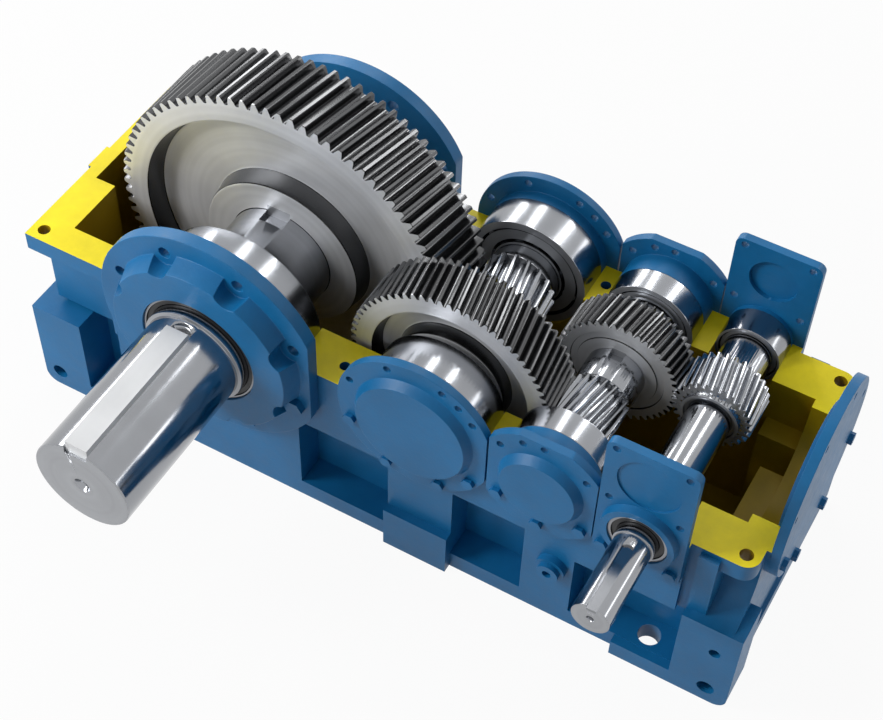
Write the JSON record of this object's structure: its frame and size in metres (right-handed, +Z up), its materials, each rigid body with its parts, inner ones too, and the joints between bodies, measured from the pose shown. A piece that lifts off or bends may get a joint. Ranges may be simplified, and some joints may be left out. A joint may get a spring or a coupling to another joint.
{
  "type": "reduction gearbox",
  "caption": "Parallel-shaft helical reduction gearbox shown open: ribbed lower casing, geared shafts in roller bearings with bolted covers, keyed output and input ends.",
  "frame": {"origin": "centre of the foot bolt pattern, on the base plane", "axes": "+X along the casing from the output end to the input end, +Y along the shafts to the blind side, so both shaft ends point to -Y, +Z up"},
  "size_m": [1.365, 0.8585, 0.6746],
  "materials": {
    "casing_paint": "semi-gloss blue outside, ochre yellow on the split face and inside",
    "bolt_paint": "painted over with the casing",
    "plug_steel": "plain",
    "seal_rubber": "matte",
    "shaft_steel": "ground and bright",
    "gear_steel": "machined, light grey",
    "race_steel": "ground"
  },
  "bodies": {
    "casing": {"lower_casing": "casing_paint", "end_cover": "casing_paint", "front_cover_one": "casing_paint", "front_cover_two": "casing_paint", "front_cover_three": "casing_paint", "front_cover_four": "casing_paint", "rear_cover_one": "casing_paint", "rear_cover_two": "casing_paint", "rear_cover_three": "casing_paint", "rear_cover_four": "casing_paint", "large_cover_bolts": "bolt_paint", "small_cover_bolts": "bolt_paint", "end_cover_bolts": "bolt_paint", "oil_drain_plug": "plug_steel", "output_shaft_seal": "seal_rubber", "input_shaft_seal": "seal_rubber", "shaft_one_front_outer_race": "race_steel", "shaft_one_rear_outer_race": "race_steel", "shaft_two_front_outer_race": "race_steel", "shaft_two_rear_outer_race": "race_steel", "shaft_three_front_outer_race": "race_steel", "shaft_three_rear_outer_race": "race_steel", "shaft_four_front_outer_race": "race_steel", "shaft_four_rear_outer_race": "race_steel"},
    "output_line": {"output_shaft": "shaft_steel", "output_key": "shaft_steel", "output_gear_key": "shaft_steel", "output_gear": "gear_steel", "shaft_one_front_inner_race": "race_steel", "shaft_one_rear_inner_race": "race_steel"},
    "second_line": {"second_pinion_shaft": "shaft_steel", "second_gear_key": "shaft_steel", "second_gear": "gear_steel", "second_spacer_sleeve": "shaft_steel", "shaft_two_front_inner_race": "race_steel", "shaft_two_rear_inner_race": "race_steel"},
    "third_line": {"third_pinion_shaft": "shaft_steel", "third_gear_key": "shaft_steel", "third_gear": "gear_steel", "third_spacer_sleeve": "shaft_steel", "shaft_three_front_inner_race": "race_steel", "shaft_three_rear_inner_race": "race_steel"},
    "input_line": {"input_pinion_shaft": "shaft_steel", "shaft_four_front_inner_race": "race_steel", "shaft_four_rear_inner_race": "race_steel"},
    "output_rollers": {"shaft_one_front_roller_set": "race_steel", "shaft_one_rear_roller_set": "race_steel"},
    "second_rollers": {"shaft_two_front_roller_set": "race_steel", "shaft_two_rear_roller_set": "race_steel"},
    "third_rollers": {"shaft_three_front_roller_set": "race_steel", "shaft_three_rear_roller_set": "race_steel"},
    "input_rollers": {"shaft_four_front_roller_set": "race_steel", "shaft_four_rear_roller_set": "race_steel"}
  },
  "joints": [
    {"name": "output_shaft_spin", "type": "hinge", "parent": "casing", "child": "output_line", "pos_m": [-0.27, 0, 0.355], "axis": [0, 1, 0], "continuous": true},
    {"name": "second_shaft_spin", "type": "hinge", "parent": "casing", "child": "second_line", "pos_m": [0.103, 0, 0.355], "axis": [0, 1, 0], "continuous": true},
    {"name": "third_shaft_spin", "type": "hinge", "parent": "casing", "child": "third_line", "pos_m": [0.324, 0, 0.355], "axis": [0, 1, 0], "continuous": true},
    {"name": "input_shaft_spin", "type": "hinge", "parent": "casing", "child": "input_line", "pos_m": [0.49, 0, 0.355], "axis": [0, 1, 0], "continuous": true},
    {"name": "output_rollers_spin", "type": "hinge", "parent": "casing", "child": "output_rollers", "pos_m": [-0.27, 0, 0.355], "axis": [0, 1, 0], "continuous": true},
    {"name": "second_rollers_spin", "type": "hinge", "parent": "casing", "child": "second_rollers", "pos_m": [0.103, 0, 0.355], "axis": [0, 1, 0], "continuous": true},
    {"name": "third_rollers_spin", "type": "hinge", "parent": "casing", "child": "third_rollers", "pos_m": [0.324, 0, 0.355], "axis": [0, 1, 0], "continuous": true},
    {"name": "input_rollers_spin", "type": "hinge", "parent": "casing", "child": "input_rollers", "pos_m": [0.49, 0, 0.355], "axis": [0, 1, 0], "continuous": true}
  ],
  "couplings": [
    {"joint": "second_shaft_spin", "follows": "output_shaft_spin", "ratio": -5.1765},
    {"joint": "third_shaft_spin", "follows": "output_shaft_spin", "ratio": 19.843},
    {"joint": "input_shaft_spin", "follows": "output_shaft_spin", "ratio": -31.891},
    {"joint": "output_rollers_spin", "follows": "output_shaft_spin", "ratio": 0.44792},
    {"joint": "second_rollers_spin", "follows": "output_shaft_spin", "ratio": -2.1158},
    {"joint": "third_rollers_spin", "follows": "output_shaft_spin", "ratio": 8.1272},
    {"joint": "input_rollers_spin", "follows": "output_shaft_spin", "ratio": -14.174}
  ]
}
